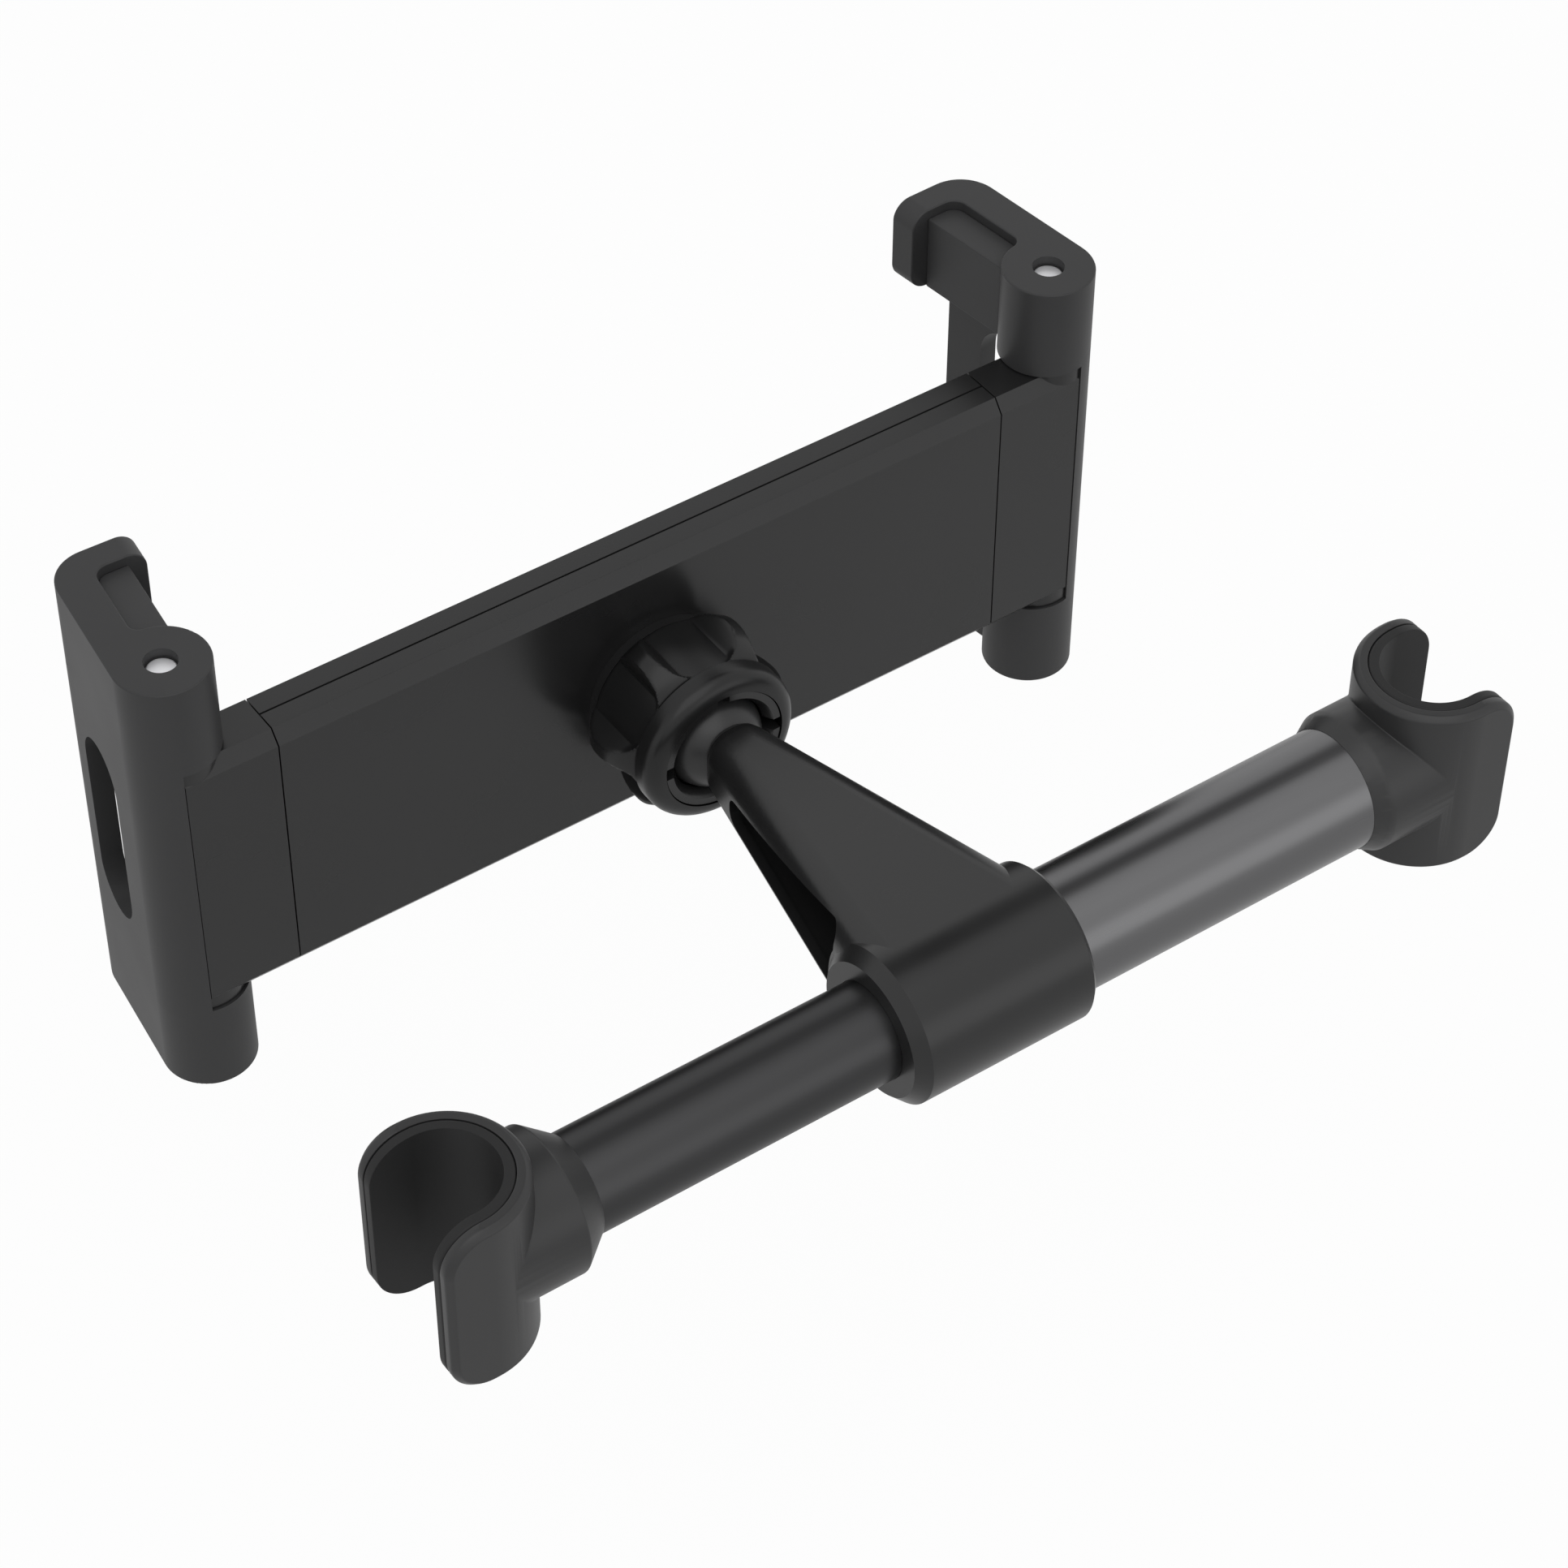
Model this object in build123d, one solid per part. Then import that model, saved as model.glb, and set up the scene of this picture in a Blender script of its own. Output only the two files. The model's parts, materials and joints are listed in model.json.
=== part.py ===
"""Headrest tablet mount: a sprung telescopic rod between two seat posts, an arm, a ball joint and a cradle.

Frame: millimetres, +Z up along the seat posts, X along the rod, Y from the rod towards the tablet.
The origin is the middle of the right-hand post, where the fixed clip holds it.
The pieces are laid out from the middle plane of the arm, and moved into that frame as they are written.
"""
import os
from math import cos, radians, sin, tan

from build123d import *

# Rod
TUBE_R = 9.0
TUBE_BORE_R = 7.5
INNER_TUBE_R = 7.15
INNER_TUBE_BORE_R = 5.9
INNER_TUBE_OVERLAP = 22.0
SLIDE_GAP = 0.05
BUSH_LENGTH = 6.0
BUSH_COLLAR = 2.0
ROD_SPRING_WIRE_R = 0.6
ROD_SPRING_TURNS = 8
COIL_SIDES = 10

# Post clips
POST_SEAT_R = 7.4
LINER_WALL = 1.6
HOOK_WALL = 2.0
CLIP_HEIGHT = 29.2
CLIP_REACH = 6.5
CLIP_TIP_ROUND = 6.0
CLIP_CHAMFER = 0.8
LINER_CHAMFER = 0.3
BOSS_R = 10.5
BOSS_FLANK = 2.8
BOSS_CONE = 2.83
LEFT_BOSS_FLANK = 3.5
LEFT_BOSS_CONE = 4.15
TUBE_SOCKET = 5.0
POST_SPACING = 160.0
RIGHT_POST_X = 80.95

# Arm with its sleeve
SLEEVE_R = 11.65
SLEEVE_LEFT = -14.2
SLEEVE_RIGHT = 14.7
SLEEVE_CONE = 1.8
SLEEVE_EDGE = 0.75
SLEEVE_END_WALL = 2.2
ARM_TOP_SLOPE = 6.0
ARM_ROOT_HALF = 14.7
ARM_BOTTOM = -3.0
ARM_TIP_HALF = 4.2
ARM_TOP_ROUND = 4.9
ARM_TIP_ROUND = 4.0
ARM_BOTTOM_ROUND = 1.0
ARM_END_ROUND = 2.6
ARM_END_STEPS = 4
ARM_WALL = 1.5
ARM_WEB_HALF = 3.2
POCKET_FLOOR = -1.9
POCKET_SILL = 0.4
POCKET_ROOT_Y = 10.3
POCKET_ROOT_TOP = 9.35
POCKET_ROOT_ROUND = 2.0
POCKET_TIP_SETBACK = 9.6
POCKET_TIP_TOP = 2.4
POCKET_TIP_ROUND = 2.0

# Ball joint
BALL_R = 7.7
BALL_Y = 58.6
BALL_GAP = 0.3
ARM_TIP_SETBACK = 4.8
STUD_R = 1.9
STUD_LENGTH = 9.0
DISH_WALL = 1.2
DISH_HALF_ANGLE = 42.0
DISH_ROOM_ANGLE = 63.0
FINGER_COUNT = 4
FINGER_SLOT = 2.0
FINGER_SLOT_DEPTH = 7.0
COLLET_MOUTH_SETBACK = 4.2
COLLET_MOUTH_R = 9.6
COLLET_MOUTH_BORE = 8.5
COLLET_GRIP_SETBACK = 2.7
COLLET_ROOT_R = 10.2
COLLET_LENGTH = 5.8
NECK_R = 10.6
BASE_R = 11.4
BASE_GAP = 0.4
SPIGOT_R = 6.0

# Lock ring
RING_MOUTH_R = 10.1
RING_RIM_R = 12.35
RING_RIM_ROUND = 2.2
RING_RIM_LENGTH = 3.9
RING_BODY_R = 12.1
RING_LENGTH = 14.9
RING_EDGE = 0.25
FIN_COUNT = 6
FIN_TURN = 32.3
FIN_PEAK_R = 14.95
FIN_ROOT_HALF = 2.26
FIN_PEAK_HALF = 0.97
FIN_EDGE = 0.3

# Cradle
CRADLE_REAR_Y = 71.13
CRADLE_DEPTH = 8.4
CRADLE_HALF_HEIGHT = 22.42
CRADLE_HALF_LENGTH = 59.95
CHAMFER_DEPTH = 1.66
CHAMFER_HEIGHT = 2.14
REAR_SHARE = 4.67
PARTING_GROOVE = 0.3
COVER_WALL = 1.6
SIDE_WALL = 2.5
MID_RIB_HALF = 2.6
SCREW_R = 1.5
SCREW_HEAD_R = 2.5
SCREW_HEAD = 1.8
SCREW_HEAD_GAP = 0.2
SCREW_BITE = 2.0
SCREW_BED = 1.0
COVER_SCREW_R = 1.1
COVER_SCREW_HEAD_R = 2.0
COVER_SCREW_HEAD = 1.1
COVER_SCREW_INSET = 5.95
COVER_SCREW_TIP = 0.6

# Slide arms
ARM_SEAM = 0.2
ARM_TRAVEL = 52.0
RAIL_ENGAGED = 50.0
RAIL_HEIGHT = 4.0
RAIL_CLEARANCE = 0.25
KNUCKLE_R = 4.45
KNUCKLE_GAP = 0.3
REAR_SLAB = 1.73
SLAB_SEAM = 0.15
SPRING_R = 2.0
SPRING_WIRE_R = 0.4
SPRING_TURNS = 14
ANCHOR_R = 1.0
ANCHOR_INSET = 37.95
HOOK_INSET = 7.95

# Jaws
PIN_REACH = 12.52
PIN_DEPTH = 6.46
PIN_R = 2.2
PIN_RECESS = 1.4
PIN_MOUTH_R = 2.35
JAW_HALF_HEIGHT = 37.56
BARREL_R = 6.82
BARREL_GAP = 0.25
JAW_TOE_IN = 6.7
JAW_WALL = 5.65
JAW_THIN_WALL = 3.2
JAW_LENGTH = 25.0
JAW_CORNER = 6.0
JAW_INNER_CORNER = 2.2
JAW_ROOT_FILLET = 1.6
JAW_EDGE = 0.25
THIN_WALL_SETBACK = 1.5
LIP_THICKNESS = 4.35
LIP_REACH = 6.7
LIP_LEAN = 4.6
LIP_ROUND = 3.0
LIP_CLEARANCE = 1.3
PAD_THICKNESS = 5.15
PAD_DROP = 1.5
SLOT_WIDTH = 11.0
SLOT_HEIGHT = 31.6
SLOT_FROM_PIN = 5.5

# Places that follow from the sizes
HOOK_R = POST_SEAT_R + LINER_WALL
CLIP_R = HOOK_R + HOOK_WALL
LEFT_POST_X = RIGHT_POST_X - POST_SPACING
RIGHT_BOSS_X = RIGHT_POST_X - CLIP_R - BOSS_FLANK - BOSS_CONE
LEFT_BOSS_X = LEFT_POST_X + CLIP_R + LEFT_BOSS_FLANK + LEFT_BOSS_CONE
ARM_TIP_Y = BALL_Y - ARM_TIP_SETBACK
ARM_ROOT_Y = SLEEVE_R * sin(radians(ARM_TOP_SLOPE))
ARM_ROOT_TOP = SLEEVE_R * cos(radians(ARM_TOP_SLOPE))
ARM_TIP_TOP = ARM_ROOT_TOP - (ARM_TIP_Y - ARM_ROOT_Y) * tan(radians(ARM_TOP_SLOPE))
ARM_TAPER = (ARM_ROOT_HALF - ARM_TIP_HALF) / (ARM_TIP_Y - ARM_ROOT_Y)
COLLET_MOUTH_Y = BALL_Y - COLLET_MOUTH_SETBACK
COLLET_ROOT_Y = COLLET_MOUTH_Y + COLLET_LENGTH
NECK_END_Y = COLLET_MOUTH_Y + RING_LENGTH + BASE_GAP
SEAT_R = BALL_R + BALL_GAP
DISH_R = SEAT_R + DISH_WALL
SOCKET_R = DISH_R + BALL_GAP
CRADLE_FRONT_Y = CRADLE_REAR_Y + CRADLE_DEPTH
PIN_X = CRADLE_HALF_LENGTH + PIN_REACH
PIN_Y = CRADLE_REAR_Y + PIN_DEPTH
HOOK_X = CRADLE_HALF_LENGTH - HOOK_INSET
ANCHOR_X = CRADLE_HALF_LENGTH - ANCHOR_INSET
BARREL_END_Z = CRADLE_HALF_HEIGHT + BARREL_GAP
PARTING_Y = CRADLE_REAR_Y + REAR_SHARE
CAVITY_REAR_Y = CRADLE_REAR_Y + COVER_WALL
CAVITY_FRONT_Y = CRADLE_FRONT_Y - COVER_WALL
CHANNEL_TOP = CRADLE_HALF_HEIGHT - SIDE_WALL
ZONE_Z = CRADLE_HALF_HEIGHT + LIP_CLEARANCE
SPRING_Y = (CAVITY_REAR_Y + CAVITY_FRONT_Y) / 2
SPRING_Z = (CHANNEL_TOP + MID_RIB_HALF) / 2
RAIL_LENGTH = ARM_TRAVEL + RAIL_ENGAGED


def at_y(y):
    """Drawing plane across the Y axis, with X to the right and Z up."""
    return Plane.XZ.offset(-y)


def along_x(radius, start, end):
    """Round bar on the X axis."""
    return Pos((start + end) / 2, 0, 0) * Rot(0, 90, 0) * Cylinder(radius, abs(end - start))


def along_y(radius, start, end, x=0):
    """Round bar parallel to the Y axis."""
    return Pos(x, (start + end) / 2, 0) * Rot(90, 0, 0) * Cylinder(radius, abs(end - start))


def block(x0, x1, y0, y1, z0, z1):
    size = Box(abs(x1 - x0), abs(y1 - y0), abs(z1 - z0))
    return Pos((x0 + x1) / 2, (y0 + y1) / 2, (z0 + z1) / 2) * size


def turned(points):
    """Solid turned about the Y axis from (radius, y) points."""
    return revolve(make_face(Polyline(*points, close=True)), Axis.Y)


def turned_face(*edges):
    return revolve(make_face(edges), Axis.Y)


def coil(radius, wire_r, start, end, turns):
    """Coil spring along X in short straight lengths of square wire that stay between two places."""
    length = end - start - 2 * wire_r
    count = turns * COIL_SIDES
    points = []
    for i in range(count + 1):
        turn = radians(i * 360 / COIL_SIDES)
        x = start + wire_r + length * i / count
        points.append((x, (radius - wire_r) * cos(turn), (radius - wire_r) * sin(turn)))
    path = Polyline(*points)
    section = Plane(origin=path @ 0, z_dir=path % 0) * Rectangle(2 * wire_r, 2 * wire_r)
    return sweep(section, path=path, transition=Transition.RIGHT)


# Post clips
def hook_plan(radius, reach):
    """U shape about a post at the origin, closed towards -X and open towards +X."""
    return Circle(radius) + Pos(reach / 2, 0) * Rectangle(reach, 2 * radius)


def clip_side():
    """Side view that rounds the free corners of the hook."""
    length = 2 * (CLIP_R + CLIP_REACH)
    outline = Pos(CLIP_REACH - length / 2, 0) * RectangleRounded(length, CLIP_HEIGHT, CLIP_TIP_ROUND)
    return extrude(Plane.XZ * outline, CLIP_R + 1, both=True)


def hook_blank(radius, edge):
    """Solid hook with rounded free corners and an eased edge all round its outer wall."""
    hook = extrude(hook_plan(radius, CLIP_REACH), CLIP_HEIGHT / 2, both=True) & clip_side()
    bends = [face for face in hook.faces().filter_by(GeomType.CYLINDER) if abs(face.radius - radius) < 0.01]
    walls = hook.faces().filter_by(Axis.Y) + bends
    lines = [line for wall in walls for line in wall.edges()]
    rim = [line for line in lines if abs(line.center().Z) > 1 or line.center().X > 1]
    return chamfer(rim, edge)


def clip_shell(boss_start, cone_length, tube_r):
    """Hook with its boss on a tube, for a post at the origin. The boss starts at boss_start on -X."""
    hook = hook_blank(CLIP_R, CLIP_CHAMFER)
    boss = along_x(BOSS_R, boss_start + cone_length, 0)
    cone = Pos(boss_start + cone_length / 2, 0, 0) * Rot(0, 90, 0) * Cone(tube_r, BOSS_R, cone_length)
    seat = extrude(hook_plan(HOOK_R, CLIP_REACH + 1), CLIP_HEIGHT, both=True)
    socket = along_x(tube_r, boss_start - 1, boss_start + TUBE_SOCKET)
    return hook + boss + cone - seat - socket


def clip_liner():
    """Soft U that lines the hook, for a post at the origin."""
    seat = extrude(hook_plan(POST_SEAT_R, CLIP_REACH + 1), CLIP_HEIGHT, both=True)
    return hook_blank(HOOK_R, LINER_CHAMFER) - seat


right_clip = Pos(RIGHT_POST_X, 0, 0) * clip_shell(RIGHT_BOSS_X - RIGHT_POST_X, BOSS_CONE, TUBE_R)
right_clip_liner = Pos(RIGHT_POST_X, 0, 0) * clip_liner()
left_shell = clip_shell(LEFT_POST_X - LEFT_BOSS_X, LEFT_BOSS_CONE, INNER_TUBE_R)
left_clip = mirror(Pos(-LEFT_POST_X, 0, 0) * left_shell, Plane.YZ)
left_clip_liner = mirror(Pos(-LEFT_POST_X, 0, 0) * clip_liner(), Plane.YZ)

# Telescopic rod
TUBE_LEFT = SLEEVE_LEFT + SLEEVE_END_WALL
TUBE_RIGHT = RIGHT_BOSS_X + TUBE_SOCKET
INNER_LEFT = LEFT_BOSS_X - TUBE_SOCKET
INNER_RIGHT = SLEEVE_LEFT + INNER_TUBE_OVERLAP
outer_tube = along_x(TUBE_R, TUBE_LEFT, TUBE_RIGHT) - along_x(TUBE_BORE_R, TUBE_LEFT - 1, TUBE_RIGHT + 1)
inner_tube = along_x(INNER_TUBE_R, INNER_LEFT, INNER_RIGHT)
inner_tube -= along_x(INNER_TUBE_BORE_R, INNER_LEFT - 1, INNER_RIGHT + 1)
rod_bush = along_x(TUBE_BORE_R - SLIDE_GAP, INNER_RIGHT, INNER_RIGHT + BUSH_COLLAR)
rod_bush += along_x(INNER_TUBE_BORE_R, INNER_RIGHT - BUSH_LENGTH, INNER_RIGHT)
rod_spring = coil(TUBE_BORE_R - ROD_SPRING_WIRE_R, ROD_SPRING_WIRE_R, INNER_RIGHT + BUSH_COLLAR, TUBE_RIGHT,
                  ROD_SPRING_TURNS)


# Arm with its sleeve
def arm_section(y, half, top, corner):
    """Cross section of the arm: flat underneath, with large rounded upper edges."""
    face = Pos(0, (top + ARM_BOTTOM) / 2) * Rectangle(2 * half, top - ARM_BOTTOM)
    face = fillet(face.vertices().group_by(Axis.Y)[-1], corner)
    face = fillet(face.vertices().group_by(Axis.Y)[0], ARM_BOTTOM_ROUND)
    return at_y(y) * face


def arm_blank():
    """Tapering arm whose top leaves the sleeve along a tangent and whose end is rounded over in steps."""
    sections = [arm_section(ARM_ROOT_Y, ARM_ROOT_HALF, ARM_ROOT_TOP, ARM_TOP_ROUND)]
    for i in range(ARM_END_STEPS + 1):
        bend = radians(90 * i / ARM_END_STEPS)
        y = ARM_TIP_Y - ARM_END_ROUND * (1 - sin(bend))
        drop = ARM_END_ROUND * (1 - cos(bend))
        half = ARM_TIP_HALF + (ARM_TIP_Y - y) * ARM_TAPER - drop
        sections.append(arm_section(y, half, ARM_TIP_TOP - drop, ARM_TIP_ROUND - drop))
    return loft(sections, ruled=True)


def arm_pockets():
    """Deep window along each flank of the arm, from the sleeve to a round narrow end.

    A web stays between the two, and the hollow behind each window lies a little below its sill."""
    end_y = ARM_TIP_Y - POCKET_TIP_SETBACK
    face = make_face(Polyline((POCKET_ROOT_Y, POCKET_FLOOR), (end_y, POCKET_FLOOR), (end_y, POCKET_TIP_TOP),
                              (POCKET_ROOT_Y, POCKET_ROOT_TOP), close=True))
    face = fillet(face.vertices().group_by(Axis.X)[-1], POCKET_TIP_ROUND)
    face = fillet(face.vertices().sort_by_distance((POCKET_ROOT_Y, POCKET_ROOT_TOP))[0], POCKET_ROOT_ROUND)
    windows = extrude(Plane.YZ * (face - Circle(SLEEVE_R)), ARM_ROOT_HALF + 1, both=True)
    root_half, tip_half = ARM_ROOT_HALF - ARM_WALL, ARM_TIP_HALF - ARM_WALL
    inside = make_face(Polyline((-root_half, ARM_ROOT_Y), (root_half, ARM_ROOT_Y), (tip_half, ARM_TIP_Y),
                                (-tip_half, ARM_TIP_Y), close=True))
    hollow = Pos(0, 0, -POCKET_SILL) * windows & extrude(inside, SLEEVE_R, both=True)
    web = block(-ARM_WEB_HALF, ARM_WEB_HALF, 0, ARM_TIP_Y, ARM_BOTTOM, SLEEVE_R)
    return windows + hollow - web


sleeve = along_x(SLEEVE_R, SLEEVE_LEFT, SLEEVE_RIGHT)
sleeve_ends = sleeve.edges().filter_by(GeomType.CIRCLE).sort_by(Axis.X)
sleeve = chamfer(sleeve_ends[0], SLEEVE_CONE)
sleeve = chamfer(sleeve.edges().filter_by(GeomType.CIRCLE).sort_by(Axis.X)[-1], SLEEVE_EDGE)
arm_room = block(SLEEVE_LEFT, SLEEVE_RIGHT, 0, BALL_Y, ARM_BOTTOM, SLEEVE_R)
support_arm = sleeve + ((arm_blank() & arm_room) - arm_pockets())
support_arm -= along_x(TUBE_R, TUBE_LEFT, SLEEVE_RIGHT + 1)
support_arm -= along_x(INNER_TUBE_R + SLIDE_GAP, SLEEVE_LEFT - 1, TUBE_LEFT)
support_arm -= Pos(0, BALL_Y, 0) * Sphere(BALL_R + SLIDE_GAP)
STUD_END_Y = BALL_Y - BALL_R - STUD_LENGTH
support_arm -= along_y(STUD_R + SLIDE_GAP, STUD_END_Y - BALL_GAP, BALL_Y)

# Ball joint
ball_stud = Pos(0, BALL_Y, 0) * Sphere(BALL_R) + along_y(STUD_R, STUD_END_Y, BALL_Y)


def sphere_arc(radius, start_deg, end_deg):
    """Arc on the ball's centre from (radius, y) directions measured from the rear of the Y axis."""
    places = [radians(a) for a in (start_deg, (start_deg + end_deg) / 2, end_deg)]
    points = [(radius * sin(a), BALL_Y + radius * cos(a)) for a in places]
    return ThreePointArc(*points)


dish_outer = sphere_arc(DISH_R, 0, DISH_HALF_ANGLE)
dish_inner = sphere_arc(SEAT_R, DISH_HALF_ANGLE, 0)
ball_dish = turned_face(dish_outer, Line(dish_outer @ 1, dish_inner @ 0), dish_inner,
                        Line(dish_inner @ 1, dish_outer @ 0))

socket_blank = turned([(0, COLLET_MOUTH_Y), (COLLET_MOUTH_R, COLLET_MOUTH_Y), (COLLET_ROOT_R, COLLET_ROOT_Y),
                       (NECK_R, COLLET_ROOT_Y), (NECK_R, NECK_END_Y), (BASE_R, NECK_END_Y),
                       (BASE_R, CRADLE_REAR_Y), (SPIGOT_R, CRADLE_REAR_Y), (SPIGOT_R, CAVITY_REAR_Y),
                       (0, CAVITY_REAR_Y)])
DISH_STEP_Y = BALL_Y + SOCKET_R * cos(radians(DISH_ROOM_ANGLE))
dish_room = Pos(0, BALL_Y, 0) * Sphere(SOCKET_R) & along_y(SOCKET_R, DISH_STEP_Y, CRADLE_REAR_Y)
GRIP_Y = BALL_Y - COLLET_GRIP_SETBACK
GRIP_R = (SEAT_R ** 2 - COLLET_GRIP_SETBACK ** 2) ** 0.5
mouth = turned([(0, COLLET_MOUTH_Y), (COLLET_MOUTH_BORE, COLLET_MOUTH_Y), (GRIP_R, GRIP_Y), (0, GRIP_Y)])
ball_socket = socket_blank - Pos(0, BALL_Y, 0) * Sphere(SEAT_R) - mouth - dish_room
FINGER_ROOT_Y = COLLET_MOUTH_Y + FINGER_SLOT_DEPTH
for i in range(FINGER_COUNT // 2):
    half = FINGER_SLOT / 2
    slot = block(-NECK_R - 1, NECK_R + 1, COLLET_MOUTH_Y - 1, FINGER_ROOT_Y, -half, half)
    ball_socket -= Rot(0, i * 360 / FINGER_COUNT, 0) * slot
ball_socket -= along_y(SCREW_R, CRADLE_REAR_Y - SCREW_BITE, CAVITY_REAR_Y + 1)

# Lock ring
RING_MOUTH_Y = COLLET_MOUTH_Y
RING_RIM_Y = RING_MOUTH_Y + RING_RIM_LENGTH
RING_END_Y = RING_MOUTH_Y + RING_LENGTH
rim_span = RING_RIM_R - RING_MOUTH_R
diagonal = sin(radians(45))
rim_middle = (RING_MOUTH_R + rim_span * diagonal, RING_MOUTH_Y + RING_RIM_ROUND * (1 - diagonal))
rim_arc = ThreePointArc((RING_MOUTH_R, RING_MOUTH_Y), rim_middle, (RING_RIM_R, RING_MOUTH_Y + RING_RIM_ROUND))
ring_bore = NECK_R + SLIDE_GAP
ring_wall = Polyline((RING_RIM_R, RING_MOUTH_Y + RING_RIM_ROUND), (RING_RIM_R, RING_RIM_Y - RING_EDGE),
                     (RING_BODY_R, RING_RIM_Y), (RING_BODY_R, RING_END_Y - RING_EDGE),
                     (RING_BODY_R - RING_EDGE, RING_END_Y), (ring_bore, RING_END_Y),
                     (ring_bore, COLLET_ROOT_Y), (RING_MOUTH_R, RING_MOUTH_Y))
lock_ring = turned_face(rim_arc, ring_wall)


def ring_fin():
    """Arched grip fin on top of the ring, with flanks that slope together towards its crest."""
    arch = ThreePointArc((RING_BODY_R, RING_RIM_Y), (FIN_PEAK_R, (RING_RIM_Y + RING_END_Y) / 2),
                         (RING_BODY_R, RING_END_Y - RING_EDGE))
    foot = Polyline(arch @ 1, (ring_bore, RING_END_Y - RING_EDGE), (ring_bore, RING_RIM_Y), arch @ 0)
    rise = FIN_PEAK_R - RING_BODY_R
    slope = (FIN_ROOT_HALF - FIN_PEAK_HALF) / rise
    low, high = ring_bore, FIN_PEAK_R + rise / 2
    low_half = FIN_ROOT_HALF + slope * (RING_BODY_R - low)
    high_half = FIN_PEAK_HALF - slope * rise / 2
    section = make_face(Polyline((-low_half, low), (low_half, low), (high_half, high), (-high_half, high),
                                 close=True))
    fin = turned_face(arch, foot) & extrude(at_y(RING_RIM_Y) * section, RING_RIM_Y - RING_END_Y)
    crest = fin.faces().sort_by(Axis.Z)[-1]
    return fillet(crest.edges().sort_by(SortBy.LENGTH)[-2:], FIN_EDGE)


grip_fin = ring_fin()
for i in range(FIN_COUNT):
    lock_ring += Rot(0, FIN_TURN + i * 360 / FIN_COUNT, 0) * grip_fin


# Cradle
def cradle_profile():
    """Side view of the cradle in Y and Z, with its chamfered rear edges."""
    flat = CRADLE_HALF_HEIGHT - CHAMFER_HEIGHT
    corner = CRADLE_REAR_Y + CHAMFER_DEPTH
    points = [(CRADLE_REAR_Y, -flat), (corner, -CRADLE_HALF_HEIGHT), (CRADLE_FRONT_Y, -CRADLE_HALF_HEIGHT),
              (CRADLE_FRONT_Y, CRADLE_HALF_HEIGHT), (corner, CRADLE_HALF_HEIGHT), (CRADLE_REAR_Y, flat)]
    return make_face(Polyline(*points, close=True))


def cradle_stretch(x0, x1):
    return Pos((x0 + x1) / 2, 0, 0) * extrude(Plane.YZ * cradle_profile(), abs(x1 - x0) / 2, both=True)


def channel(side):
    """Room for one arm's rails: the left arm runs in the upper half, the right arm in the lower half."""
    open_end = side * (CRADLE_HALF_LENGTH + 1)
    shut_end = -side * (CRADLE_HALF_LENGTH - COVER_WALL)
    low, high = sorted((-side * MID_RIB_HALF, -side * CHANNEL_TOP))
    return block(open_end, shut_end, CAVITY_REAR_Y, CAVITY_FRONT_Y, low, high)


cradle_body = cradle_stretch(-CRADLE_HALF_LENGTH, CRADLE_HALF_LENGTH) - channel(-1) - channel(1)
reach = CRADLE_HALF_LENGTH + 1
rear_side = block(-reach, reach, CRADLE_REAR_Y, PARTING_Y, -CRADLE_HALF_HEIGHT, CRADLE_HALF_HEIGHT)
groove_core = CRADLE_HALF_HEIGHT - PARTING_GROOVE
groove = block(-reach, reach, PARTING_Y, PARTING_Y + PARTING_GROOVE, groove_core, CRADLE_HALF_HEIGHT + 1)
rear_cover = cradle_body & rear_side
front_cover = cradle_body - rear_side - groove - mirror(groove, Plane.XY)
rear_cover -= along_y(SPIGOT_R, CRADLE_REAR_Y - 1, CAVITY_REAR_Y)
SCREW_SEAT_Y = CAVITY_REAR_Y + SCREW_BED
screw_room = along_y(SCREW_HEAD_R + SCREW_HEAD_GAP, SCREW_SEAT_Y, CAVITY_FRONT_Y)
rear_cover -= along_y(SCREW_R, CRADLE_REAR_Y, CAVITY_FRONT_Y) + screw_room
front_cover -= screw_room
socket_screw = along_y(SCREW_R, CRADLE_REAR_Y - SCREW_BITE, SCREW_SEAT_Y)
socket_screw += along_y(SCREW_HEAD_R, SCREW_SEAT_Y, SCREW_SEAT_Y + SCREW_HEAD)

SCREW_TIP_Y = CAVITY_REAR_Y + COVER_SCREW_TIP
cover_screws = Part()
for step in (-1, -1 / 3, 1 / 3, 1):
    x = step * (CRADLE_HALF_LENGTH - COVER_SCREW_INSET)
    shank = along_y(COVER_SCREW_R, SCREW_TIP_Y, CRADLE_FRONT_Y - COVER_SCREW_HEAD, x)
    head = along_y(COVER_SCREW_HEAD_R, CRADLE_FRONT_Y - COVER_SCREW_HEAD, CRADLE_FRONT_Y, x)
    cover_screws += shank + head
    rear_cover -= shank
    front_cover -= shank + head

for side in (-1, 1):
    anchor = along_y(ANCHOR_R, CAVITY_REAR_Y, CAVITY_FRONT_Y, -side * ANCHOR_X)
    rear_cover += Pos(0, 0, -side * SPRING_Z) * anchor


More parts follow.
